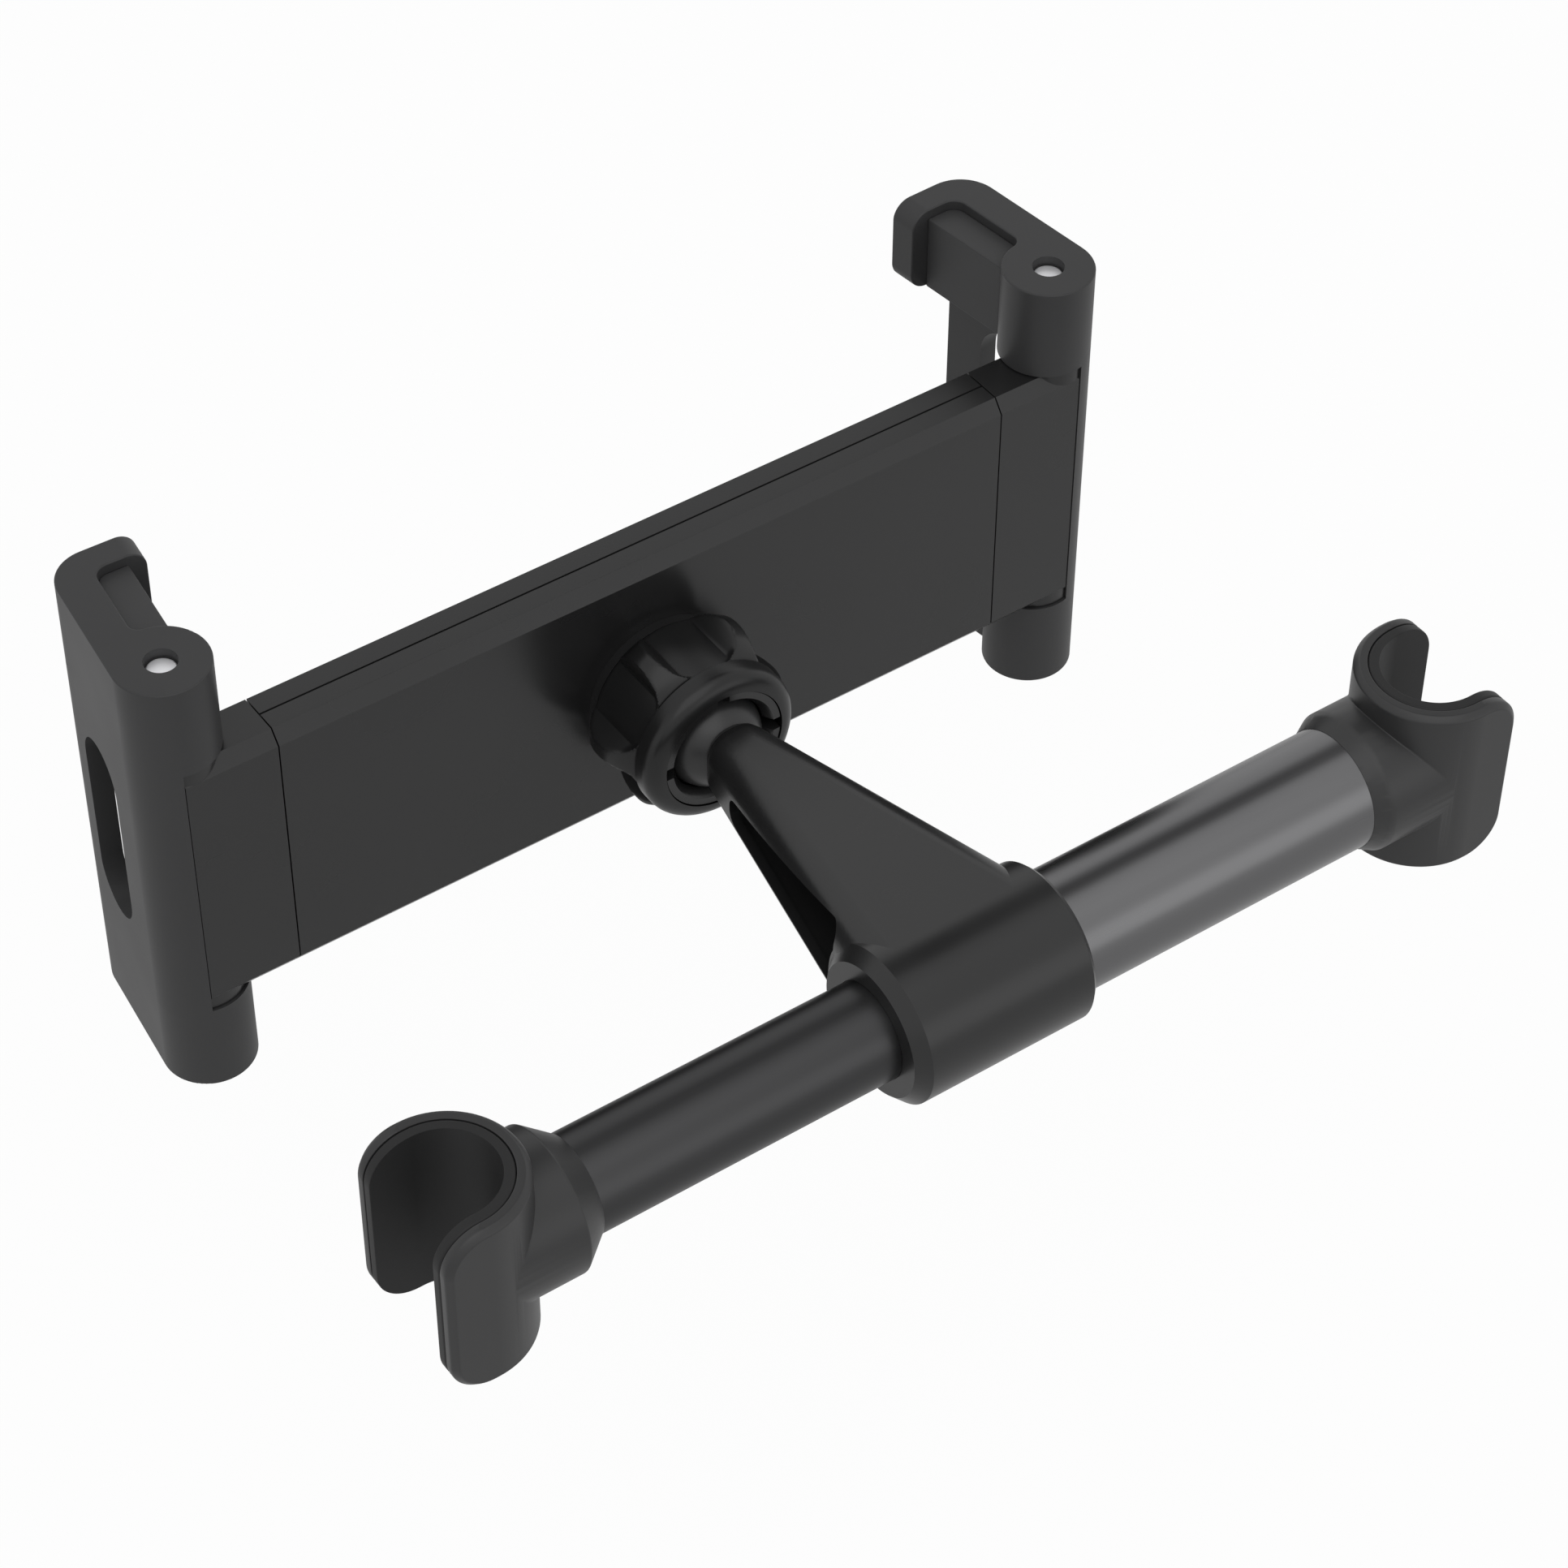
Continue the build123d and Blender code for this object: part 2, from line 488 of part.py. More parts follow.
# Slide arms
def slide_arm_right():
    """End block with the hinge knuckle, and two rails that run in the lower channel."""
    seam = CRADLE_HALF_LENGTH + ARM_SEAM
    arm = cradle_stretch(seam, PIN_X)
    flat_end = PIN_X + REAR_SLAB
    slab = block(PIN_X - PIN_DEPTH, flat_end, CRADLE_REAR_Y, PIN_Y, -CRADLE_HALF_HEIGHT, CRADLE_HALF_HEIGHT)
    round_seat = Pos(PIN_X, PIN_Y, 0) * Cylinder(PIN_DEPTH, 2 * CRADLE_HALF_HEIGHT)
    arm += slab & (cradle_stretch(seam, flat_end) + round_seat)
    arm += Pos(PIN_X, PIN_Y, 0) * Cylinder(KNUCKLE_R, 2 * CRADLE_HALF_HEIGHT)
    rail_y = (CAVITY_REAR_Y + RAIL_CLEARANCE, CAVITY_FRONT_Y - RAIL_CLEARANCE)
    rail_end = seam - RAIL_LENGTH
    high = -MID_RIB_HALF - RAIL_CLEARANCE
    low = -CHANNEL_TOP + RAIL_CLEARANCE
    arm += block(rail_end, seam, *rail_y, high - RAIL_HEIGHT, high)
    arm += block(rail_end, seam, *rail_y, low, low + RAIL_HEIGHT)
    arm += block(HOOK_X + ANCHOR_R, seam, *rail_y, low, high)
    arm -= Pos(PIN_X, PIN_Y, 0) * Cylinder(PIN_R, 3 * CRADLE_HALF_HEIGHT)
    return arm


slide_right = slide_arm_right()
slide_left = mirror(mirror(slide_right, Plane.YZ), Plane.XY)
spring_coil = coil(SPRING_R, SPRING_WIRE_R, -ANCHOR_X + ANCHOR_R, HOOK_X + ANCHOR_R, SPRING_TURNS)
spring_right = Pos(0, SPRING_Y, -SPRING_Z) * spring_coil
spring_left = mirror(mirror(spring_right, Plane.YZ), Plane.XY)


# Jaws
def lip_line(v, u):
    """Place on a line across the jaw that leans with the lip."""
    return v - u * tan(radians(LIP_LEAN))


def jaw_plan():
    """Barrel, wall and lip seen from above, with the pin at the origin and the wall along +Y."""
    inner = BARREL_R - JAW_WALL
    top = JAW_LENGTH
    low = JAW_LENGTH - LIP_THICKNESS
    hook = make_face(Polyline((BARREL_R, 0), (BARREL_R, lip_line(top, BARREL_R)),
                              (-LIP_REACH, lip_line(top, -LIP_REACH)),
                              (-LIP_REACH, lip_line(low, -LIP_REACH)),
                              (inner, lip_line(low, inner)), (inner, 0), close=True))
    corner = hook.vertices().sort_by_distance((BARREL_R, top))[0]
    hook = fillet(corner, JAW_CORNER)
    corner = hook.vertices().sort_by_distance((inner, low))[0]
    hook = fillet(corner, JAW_INNER_CORNER)
    plan = hook + Circle(BARREL_R)
    notch = plan.vertices().sort_by_distance((inner, BARREL_R))[0]
    return fillet(notch, JAW_ROOT_FILLET)


def jaw_waist():
    """Middle height of the jaw: a thin wall, and the outer skin of the barrel round the knuckle."""
    inner = BARREL_R - JAW_THIN_WALL
    end = JAW_LENGTH - THIN_WALL_SETBACK
    wall = Pos((BARREL_R + inner) / 2, end / 2) * Rectangle(JAW_THIN_WALL, end)
    wall = wall & jaw_plan()
    skin = Circle(BARREL_R) & (Pos(BARREL_R / 2, -BARREL_R / 2) * Rectangle(BARREL_R, BARREL_R))
    slab = Pos(REAR_SLAB + SLAB_SEAM - BARREL_R, 0) * Rectangle(2 * BARREL_R, 4 * BARREL_R)
    skin = skin - Rot(0, 0, -JAW_TOE_IN) * slab
    return wall + skin - Circle(KNUCKLE_R + KNUCKLE_GAP)


def jaw_pad_plan():
    inner = BARREL_R - JAW_WALL
    strip = Pos(inner - PAD_THICKNESS / 2, JAW_LENGTH / 2) * Rectangle(PAD_THICKNESS, JAW_LENGTH)
    lip = Rectangle(4 * LIP_REACH, 2 * LIP_THICKNESS)
    room = strip - jaw_plan() - Pos(0, JAW_LENGTH) * Rot(0, 0, -LIP_LEAN) * lip
    return room.faces().sort_by(SortBy.AREA)[-1]


def to_pin(piece):
    """Set a jaw piece on the right-hand pin, with the toe-in of the open jaw."""
    return Pos(PIN_X, PIN_Y, 0) * Rot(0, 0, JAW_TOE_IN) * piece


def jaw_end():
    """Upper end of the jaw, with its lip's top corner rounded and the barrel's rim eased."""
    height = JAW_HALF_HEIGHT - ZONE_Z
    end = Pos(0, 0, ZONE_Z) * extrude(jaw_plan(), height)
    lip_tip = end.faces().filter_by(Axis.X, tolerance=LIP_LEAN + 1).sort_by(Axis.X)[0]
    end = fillet(lip_tip.edges().filter_by(Axis.Y, tolerance=LIP_LEAN + 1), LIP_ROUND)
    end = fillet(end.faces().sort_by(Axis.Z)[-1].edges(), JAW_EDGE)
    end += Pos(0, 0, (BARREL_END_Z + ZONE_Z) / 2) * Cylinder(BARREL_R, ZONE_Z - BARREL_END_Z)
    end -= Pos(0, 0, JAW_HALF_HEIGHT) * Cylinder(PIN_MOUTH_R, 2 * PIN_RECESS)
    return end


def jaw_right_solid():
    upper = jaw_end()
    waist = extrude(jaw_waist(), ZONE_Z, both=True)
    slot = SlotCenterToCenter(SLOT_HEIGHT - SLOT_WIDTH, SLOT_WIDTH)
    slot_place = Plane(origin=(0, SLOT_FROM_PIN + SLOT_WIDTH / 2, 0), x_dir=(0, 0, 1), z_dir=(1, 0, 0))
    waist -= extrude(slot_place * slot, 2 * BARREL_R, both=True)
    jaw = upper + waist + mirror(upper, Plane.XY)
    return to_pin(jaw - Cylinder(PIN_R + SLIDE_GAP, 3 * JAW_HALF_HEIGHT))


def jaw_pad_right():
    height = JAW_HALF_HEIGHT - PAD_DROP - ZONE_Z
    return to_pin(Pos(0, 0, ZONE_Z) * extrude(jaw_pad_plan(), height))


jaw_right = jaw_right_solid()
pad_right = jaw_pad_right()
PIN_HALF = JAW_HALF_HEIGHT - PIN_RECESS
pin_right = Pos(PIN_X, PIN_Y, 0) * Cylinder(PIN_R, 2 * PIN_HALF)

nodes = {
    "right_clip": right_clip,
    "right_clip_liner": right_clip_liner,
    "left_clip": left_clip,
    "left_clip_liner": left_clip_liner,
    "outer_tube": outer_tube,
    "inner_tube": inner_tube,
    "rod_bush": rod_bush,
    "rod_spring": rod_spring,
    "support_arm": support_arm,
    "ball_stud": ball_stud,
    "ball_dish": ball_dish,
    "ball_socket": ball_socket,
    "lock_ring": lock_ring,
    "rear_cover": rear_cover,
    "front_cover": front_cover,
    "socket_screw": socket_screw,
    "cover_screws": cover_screws,
    "slide_arm_right": slide_right,
    "slide_arm_left": slide_left,
    "slide_spring_right": spring_right,
    "slide_spring_left": spring_left,
}
jaw_pieces = {"jaw": jaw_right, "jaw_pin": pin_right, "jaw_pad_upper": pad_right,
              "jaw_pad_lower": mirror(pad_right, Plane.XY)}
for name, solid in jaw_pieces.items():
    nodes[f"{name}_right"] = solid
    nodes[f"{name}_left"] = mirror(solid, Plane.YZ)

os.makedirs("parts", exist_ok=True)
for name, solid in nodes.items():
    export_step(Pos(-RIGHT_POST_X, 0, 0) * solid, f"parts/{name}.step")
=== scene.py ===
# %% [markdown]
# # A headrest tablet mount, dressed for the camera
# The mount clips to the two posts of a car headrest. A sprung rod reaches from post to post, an arm stands
# out from the rod, and a ball joint carries a cradle whose two jaws fold out to hold a tablet.
# The solids come from the CAD pack, in metres, so nothing here is fitted by eye: each piece goes where the
# CAD says, and this lesson gives it the edges and the surface that a real moulding, tube or pin has.

# %% Load the frame
import json
import math

import bpy
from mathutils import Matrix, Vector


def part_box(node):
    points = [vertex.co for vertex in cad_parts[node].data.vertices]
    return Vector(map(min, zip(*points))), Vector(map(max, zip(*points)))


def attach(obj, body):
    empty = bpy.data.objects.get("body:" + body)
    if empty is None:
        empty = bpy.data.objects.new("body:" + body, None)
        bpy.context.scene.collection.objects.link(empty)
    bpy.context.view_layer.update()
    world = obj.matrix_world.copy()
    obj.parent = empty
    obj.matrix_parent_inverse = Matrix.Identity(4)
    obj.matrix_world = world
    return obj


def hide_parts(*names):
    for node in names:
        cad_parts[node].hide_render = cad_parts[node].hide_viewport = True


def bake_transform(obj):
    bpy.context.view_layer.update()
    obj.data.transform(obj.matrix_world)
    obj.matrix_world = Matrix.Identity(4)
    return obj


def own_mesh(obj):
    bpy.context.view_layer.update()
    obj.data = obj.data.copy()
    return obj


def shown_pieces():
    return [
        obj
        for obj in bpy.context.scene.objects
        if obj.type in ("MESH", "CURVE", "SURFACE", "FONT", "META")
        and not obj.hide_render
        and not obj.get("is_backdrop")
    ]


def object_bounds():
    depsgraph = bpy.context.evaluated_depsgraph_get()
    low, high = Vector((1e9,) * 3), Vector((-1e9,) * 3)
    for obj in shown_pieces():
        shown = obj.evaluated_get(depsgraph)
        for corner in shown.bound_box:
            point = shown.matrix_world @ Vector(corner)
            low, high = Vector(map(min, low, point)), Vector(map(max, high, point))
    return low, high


MM = 0.001

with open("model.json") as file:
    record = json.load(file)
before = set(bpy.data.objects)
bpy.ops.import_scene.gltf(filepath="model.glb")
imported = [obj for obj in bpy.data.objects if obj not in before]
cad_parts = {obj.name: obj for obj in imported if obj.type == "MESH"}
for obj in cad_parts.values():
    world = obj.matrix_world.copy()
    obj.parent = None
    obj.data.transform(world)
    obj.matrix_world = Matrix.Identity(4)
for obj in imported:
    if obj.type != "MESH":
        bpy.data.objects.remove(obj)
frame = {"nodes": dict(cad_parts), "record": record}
record = frame["record"]
cad_low, cad_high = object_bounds()
body_of_node = {}
for body, nodes in record["behaviour"]["bodies"].items():
    body_of_node.update(dict.fromkeys(nodes, body))
slot_of_node = {part["node"]: part["material_slot"] for part in record["subparts"]}
print("CAD box, mm:", [round(v / MM, 2) for v in (*cad_low, *cad_high)])

# %% [markdown]
# ## The camera
# The photograph was solved for its camera: the edges of the cradle, the rod and the posts' axes fix where
# it stood and how long its lens was. A long lens from above and to the left keeps the perspective mild.
# The numbers are written out, because a camera that is aimed by a helper would lose the small roll.

# %% Camera
CAMERA_PLACE = (-0.32983, -0.310905, 0.429877)
CAMERA_TURN = (45.341, -0.3027, -35.0555)
CAMERA_LENS = 101.632
SENSOR_WIDTH = 36.0
CLIP_START = 0.01

camera_data = bpy.data.cameras.new("photo_camera")
camera_data.sensor_width = SENSOR_WIDTH
camera_data.lens = CAMERA_LENS
camera_data.clip_start = CLIP_START
camera = bpy.data.objects.new("photo_camera", camera_data)
camera.location = CAMERA_PLACE
camera.rotation_euler = [math.radians(a) for a in CAMERA_TURN]
bpy.context.scene.collection.objects.link(camera)
bpy.context.scene.camera = camera
print("camera", CAMERA_PLACE, "lens", CAMERA_LENS)

# %% [markdown]
# ## Helpers for modelling
# Operators act on whatever is selected, so every step first selects one piece alone. A piece's place and
# turn go into its mesh, so that it sits at the origin as the CAD nodes do. A finished piece is then tied to
# the CAD: it rides on the body of the node that it stands for, and takes that node's finish.

# %% Modelling helpers
ALONG_X = (0.0, math.pi / 2, 0.0)
ALONG_Y = (math.pi / 2, 0.0, 0.0)
ALONG_Z = (0.0, 0.0, 0.0)
FLAT_WEIGHT = 100


def pick(piece):
    """Selects this piece alone and makes it the active one."""
    bpy.ops.object.select_all(action="DESELECT")
    piece.select_set(True)
    bpy.context.view_layer.objects.active = piece


def settle():
    """Puts the active piece's place, turn and scale into its mesh, and returns the piece."""
    bpy.ops.object.transform_apply(location=True, rotation=True, scale=True)
    return bpy.context.active_object


def link_mesh(name, mesh):
    """New piece in the scene that shows this mesh."""
    piece = bpy.data.objects.new(name, mesh)
    bpy.context.scene.collection.objects.link(piece)
    return piece


def add_bar(sides, radius, length, place, turn, fill="NGON"):
    """Round bar round this place, with its axis turned from Z."""
    bpy.ops.object.select_all(action="DESELECT")
    bpy.ops.mesh.primitive_cylinder_add(vertices=sides, radius=radius, depth=length, end_fill_type=fill,
                                        location=place, rotation=turn)
    return settle()


def apply_modifier(piece, kind, **settings):
    """Adds a modifier with these settings and applies it to the mesh."""
    modifier = piece.modifiers.new(kind.lower(), kind)
    for key, value in settings.items():
        setattr(modifier, key, value)
    pick(piece)
    bpy.ops.object.modifier_apply(modifier=modifier.name)


def bevel(piece, width, segments, angle, **settings):
    """Rounds the edges that are sharper than this angle, in degrees."""
    apply_modifier(piece, "BEVEL", width=width, segments=segments, limit_method="ANGLE",
                   angle_limit=math.radians(angle), **settings)


def combine(piece, tool, operation):
    """Joins a tool to the piece, or cuts the piece with it, and deletes the tool."""
    apply_modifier(piece, "BOOLEAN", object=tool, operation=operation)
    bpy.data.objects.remove(tool)


def smooth(piece, angle):
    """Shades the piece smooth, apart from edges sharper than this angle, and keeps large faces flat."""
    pick(piece)
    bpy.ops.object.shade_smooth_by_angle(angle=math.radians(angle))
    apply_modifier(piece, "WEIGHTED_NORMAL", weight=FLAT_WEIGHT, keep_sharp=True)


def stand_for(piece, node):
    """Puts a finished piece in the place of a CAD node."""
    piece.name = node + "_piece"
    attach(piece, body_of_node[node])
    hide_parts(node)
    return piece


print("nodes to dress:", len(slot_of_node))

# %% [markdown]
# ## Soft edges on the mouldings
# No moulding has a knife edge: the tool's corners are rounded by a few tenths of a millimetre, and that
# small round is what catches the light. The CAD carries the larger rounds. Here each moulding is copied, the
# loose triangles of the copy are merged, the flat ones are joined into whole faces, and a Bevel modifier
# rounds what is still sharp. A subdivision surface could do it too, but would pull the flat faces out of
# shape. The arm and the ball keep the rounds of their solids, and are shown as the CAD has them.

# %% Soft edges
MERGE = 0.002 * MM
SHARP = 32.0
FLAT = 0.4
EDGE_SEGMENTS = 2
EDGE_WIDTHS = {
    "right_clip": 0.2, "left_clip": 0.2, "right_clip_liner": 0.15, "left_clip_liner": 0.15,
    "ball_socket": 0.12, "rear_cover": 0.3, "front_cover": 0.3,
    "slide_arm_right": 0.25, "slide_arm_left": 0.25,
    "jaw_pad_upper_right": 0.35, "jaw_pad_lower_right": 0.35,
    "jaw_pad_upper_left": 0.35, "jaw_pad_lower_left": 0.35,
}


def merged_copy(node):
    """Copy of a CAD node with its loose triangles merged."""
    piece = link_mesh(node + "_piece", frame["nodes"][node].data.copy())
    pick(piece)
    bpy.ops.object.mode_set(mode="EDIT")
    bpy.ops.mesh.select_all(action="SELECT")
    bpy.ops.mesh.remove_doubles(threshold=MERGE)
    bpy.ops.mesh.customdata_custom_splitnormals_clear()
    bpy.ops.object.mode_set(mode="OBJECT")
    return piece


def soft_copy(node, width):
    """Copy of a CAD node whose sharp edges are rounded to this width."""
    piece = merged_copy(node)
    bpy.ops.object.mode_set(mode="EDIT")
    bpy.ops.mesh.dissolve_limited(angle_limit=math.radians(FLAT))
    bpy.ops.object.mode_set(mode="OBJECT")
    bevel(piece, width, EDGE_SEGMENTS, SHARP, use_clamp_overlap=True, miter_outer="MITER_ARC")
    smooth(piece, SHARP)
    return stand_for(piece, node)


for node, width in EDGE_WIDTHS.items():
    piece = soft_copy(node, width * MM)
    print(node, "edge", width, "mm, faces", len(piece.data.polygons))

# %% [markdown]
# ## The jaws
# The jaws have their rounds from the CAD. Where each end block meets the waist between them, the block's
# round leaves a fine groove across the outer wall, which the real jaw does not have, being one moulding.
# A strip laid over the groove would leave two new seams. So the waist's edge is drawn over it, and the wall
# runs through.

# %% Jaws
GROOVE = 0.25 * MM

waist_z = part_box("jaw_pad_upper_left")[0].z


def run_through(jaw):
    """Draws the waist's outline up to where the end blocks' walls begin. Returns how many points moved."""
    mesh = jaw.data
    tops = [v.co.to_2d() for v in mesh.vertices if abs(abs(v.co.z) - waist_z - GROOVE) < MERGE]
    walled = set()
    for edge in mesh.edges:
        a, b = (mesh.vertices[i] for i in edge.vertices)
        for point, other in ((a, b), (b, a)):
            if abs(abs(point.co.z) - waist_z) < MERGE and abs(other.co.z) < waist_z - GROOVE:
                walled.add(point.index)
    moved = 0
    for index in walled:
        point = mesh.vertices[index]
        if min((point.co.to_2d() - top).length for top in tops) < 2 * GROOVE:
            point.co.z = math.copysign(waist_z + GROOVE, point.co.z)
            moved += 1
    return moved


for node in ("jaw_right", "jaw_left"):
    jaw = merged_copy(node)
    print(node, "points drawn up:", run_through(jaw))
    smooth(jaw, SHARP)
    stand_for(jaw, node)

# %% [markdown]
# ## The two tubes
# The rod is a steel tube that slides in a wider one. Their walls show only at the ends, yet a tube is not a
# solid bar, so each starts as an open cylinder, gets its wall from Solidify and a broken edge from Bevel.
# Boring a bar with a Boolean would give the same wall with less even faces. Many sides keep the long
# highlights straight.

# %% Tubes
TUBE_WALLS = {"outer_tube": 1.5 * MM, "inner_tube": 1.25 * MM}
TUBE_SIDES = 160
TUBE_BREAK = 0.25 * MM
END_SEGMENTS = 3
END_ANGLE = 60.0


def drawn_tube(node, wall):
    """Open tube along X in the place of a CAD node, with its end edges broken."""
    low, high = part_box(node)
    tube = add_bar(TUBE_SIDES, (high.y - low.y) / 2, high.x - low.x, (low + high) / 2, ALONG_X, "NOTHING")
    apply_modifier(tube, "SOLIDIFY", thickness=wall, offset=-1.0)
    bevel(tube, TUBE_BREAK, END_SEGMENTS, END_ANGLE)
    smooth(tube, SHARP)
    return stand_for(tube, node)


for node, wall in TUBE_WALLS.items():
    tube = drawn_tube(node, wall)
    print(node, "wall, mm:", wall / MM, "faces", len(tube.data.polygons))

# %% [markdown]
# ## The hinge pins
# Each jaw folds on a bright steel pin, cut from bar and tumbled, so that its ends are flat with a small
# round. A profile could be spun for it, but a bar with bevelled ends is shorter. One pin is modelled, and
# copied to the other side with a mesh of its own.

# %% Hinge pins
PIN_SIDES = 96
PIN_ROUND = 0.3 * MM

low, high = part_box("jaw_pin_right")
pin = add_bar(PIN_SIDES, (high.y - low.y) / 2, high.z - low.z, (low + high) / 2, ALONG_Z)
bevel(pin, PIN_ROUND, END_SEGMENTS, END_ANGLE)
smooth(pin, SHARP)
left_pin = link_mesh("left_pin", pin.data.copy())
left_pin.location.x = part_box("jaw_pin_left")[0].x - low.x
pick(left_pin)
settle()
stand_for(pin, "jaw_pin_right")
stand_for(left_pin, "jaw_pin_left")
print("pins, faces each:", len(pin.data.polygons))

# %% [markdown]
# ## The cover screws
# Four small screws hold the two covers together from the tablet's side. Each has a low head with a cross
# for the driver. Head and shank are two bars, joined by a Boolean. Another Boolean cuts the cross, with
# two tapered bars as its tool, because insets alone can't make a cross in a round face.

# %% Cover screws
SCREW_COUNT = 4
SCREW_SIDES = 64
SHANK_R = 1.1 * MM
HEAD_R = 1.97 * MM
HEAD_DEEP = 1.1 * MM
CROSS_LONG = 2.3 * MM
CROSS_WIDE = 0.55 * MM
CROSS_DEEP = 0.7 * MM
CROSS_TAPER = 0.7
SCREW_ROUND = 0.15 * MM
SCREW_SHARP = 40.0
# From the end of the four screws' box to the axis of the screw there.
AXIS_INSET = 2.0 * MM

low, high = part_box("cover_screws")
first_x = low.x + AXIS_INSET
last_x = high.x - AXIS_INSET
face_y = high.y


def cross_cutter():
    """Two bars, one across the other, whose far ends are drawn together."""
    middle = (first_x, face_y, 0.0)
    bars = []
    for turn in (0.0, math.pi / 2):
        bpy.ops.object.select_all(action="DESELECT")
        bpy.ops.mesh.primitive_cube_add(size=1.0, location=middle, rotation=(0.0, turn, 0.0),
                                        scale=(CROSS_LONG, 2 * CROSS_DEEP, CROSS_WIDE))
        bar = settle()
        for vertex in bar.data.vertices:
            vertex.select = vertex.co.y < face_y
        bpy.context.tool_settings.mesh_select_mode = (True, False, False)
        bpy.ops.object.mode_set(mode="EDIT")
        bpy.ops.transform.resize(value=(CROSS_TAPER, 1.0, CROSS_TAPER), center_override=middle)
        bpy.ops.object.mode_set(mode="OBJECT")
        bars.append(bar)
    combine(bars[0], bars[1], "UNION")
    return bars[0]


screw = add_bar(SCREW_SIDES, SHANK_R, face_y - low.y, (first_x, (low.y + face_y) / 2, 0.0), ALONG_Y)
head = add_bar(SCREW_SIDES, HEAD_R, HEAD_DEEP, (first_x, face_y - HEAD_DEEP / 2, 0.0), ALONG_Y)
combine(screw, head, "UNION")
combine(screw, cross_cutter(), "DIFFERENCE")
bevel(screw, SCREW_ROUND, EDGE_SEGMENTS, SCREW_SHARP)
smooth(screw, SHARP)
screws = [screw]
for step in range(1, SCREW_COUNT):
    twin = link_mesh("cover_screw", screw.data.copy())
    twin.location.x = step * (last_x - first_x) / (SCREW_COUNT - 1)
    screws.append(twin)
pick(screw)
for twin in screws:
    twin.select_set(True)
bpy.ops.object.join()
stand_for(screw, "cover_screws")
print("cover screws, faces:", len(screw.data.polygons))

# %% [markdown]
# ## The lock ring's wall
# The ring screws onto the collet and squeezes it on the ball. Its wall has a rounded mouth, a rim, a straight
# body and a stepped bore, all round one axis. Bars and Booleans could make it, but one outline that is spun
# about the axis keeps even rows of faces, and the fins of the next step need those.

# %% Lock ring's wall
RING_STEPS = 432
RING_AXIS_X = -80.95 * MM
RING_MOUTH_Y = 54.2 * MM
RING_END_Y = 69.3 * MM
MOUTH_R = 9.75 * MM
RIM_LONG = 4.1 * MM
RIM_R = 12.45 * MM
RIM_ROUND = 2.2 * MM
RIM_SIDES = 8
RIM_EDGE = 0.2 * MM
RIM_Y = RING_MOUTH_Y + RIM_LONG
BODY_R = 11.95 * MM
BODY_ROWS = 44
END_ROUND = 0.35 * MM
# How far the middle of the end's round lies inside its corner, as a share of the round.
END_CUT = 0.3
BORE_R = 10.65 * MM
BORE_STEP_Y = 60.2 * MM


def ring_outline():
    """Points (radius, y) round the ring's wall: mouth, rim, body, end, bore."""
    points = []
    for i in range(RIM_SIDES + 1):
        bend = math.radians(90 * i / RIM_SIDES)
        points.append((MOUTH_R + (RIM_R - MOUTH_R) * math.sin(bend),
                       RING_MOUTH_Y + RIM_ROUND * (1 - math.cos(bend))))
    points.append((RIM_R, RIM_Y - RIM_EDGE))
    points.append((RIM_R - RIM_EDGE, RIM_Y))
    for i in range(BODY_ROWS + 1):
        points.append((BODY_R, RIM_Y + (RING_END_Y - END_ROUND - RIM_Y) * i / BODY_ROWS))
    points.append((BODY_R - END_CUT * END_ROUND, RING_END_Y - END_CUT * END_ROUND))
    points.append((BODY_R - END_ROUND, RING_END_Y))
    points.append((BORE_R, RING_END_Y))
    points.append((BORE_R, BORE_STEP_Y))
    return points


corners = [(RING_AXIS_X + r, y, 0.0) for r, y in ring_outline()]
sides = [(i, (i + 1) % len(corners)) for i in range(len(corners))]
ring_mesh = bpy.data.meshes.new("ring_outline")
ring_mesh.from_pydata(corners, sides, [])
ring = link_mesh("ring", ring_mesh)
pick(ring)
bpy.ops.object.mode_set(mode="EDIT")
bpy.ops.mesh.select_all(action="SELECT")
bpy.ops.mesh.spin(steps=RING_STEPS, angle=2 * math.pi, center=(RING_AXIS_X, 0.0, 0.0), axis=(0.0, 1.0, 0.0))
bpy.ops.mesh.select_all(action="SELECT")
bpy.ops.mesh.remove_doubles(threshold=MERGE)
bpy.ops.mesh.normals_make_consistent(inside=False)
bpy.ops.object.mode_set(mode="OBJECT")
print("lock ring, points in its outline:", len(corners))

# %% [markdown]
# ## The lock ring's fins
# The ring is turned by hand, so it has six fins for the fingers, arched along the ring and running out into
# its rim. Fins set on a cylinder would leave hard corners at their feet. Here the outside is drawn up and
# down as a potter would: each point's radius is the arched blank's, let down to the ring's body inside six
# hollows with round corners.

# %% Lock ring's fins
FIN_COUNT = 6
FIN_TURN = math.radians(32.3)
FIN_FOOT_HALF = 2.26 * MM
FIN_STEEP = 2.2
PEAK_R = 14.95 * MM
HOLLOW_CORNER = 2.0 * MM
BLEND = 0.35 * MM
# How fast the ledge behind the rim falls to the body, in rise per run.
LEDGE_FALL = 0.25
ON_BODY = 0.1 * END_ROUND


def soft_lower(a, b):
    """The lower of two heights, rounded where they cross."""
    mix = max(BLEND - abs(a - b), 0.0) / BLEND
    return min(a, b) - mix * mix * BLEND / 4


def soft_upper(a, b):
    """The upper of two heights, rounded where they cross."""
    return -soft_lower(-a, -b)


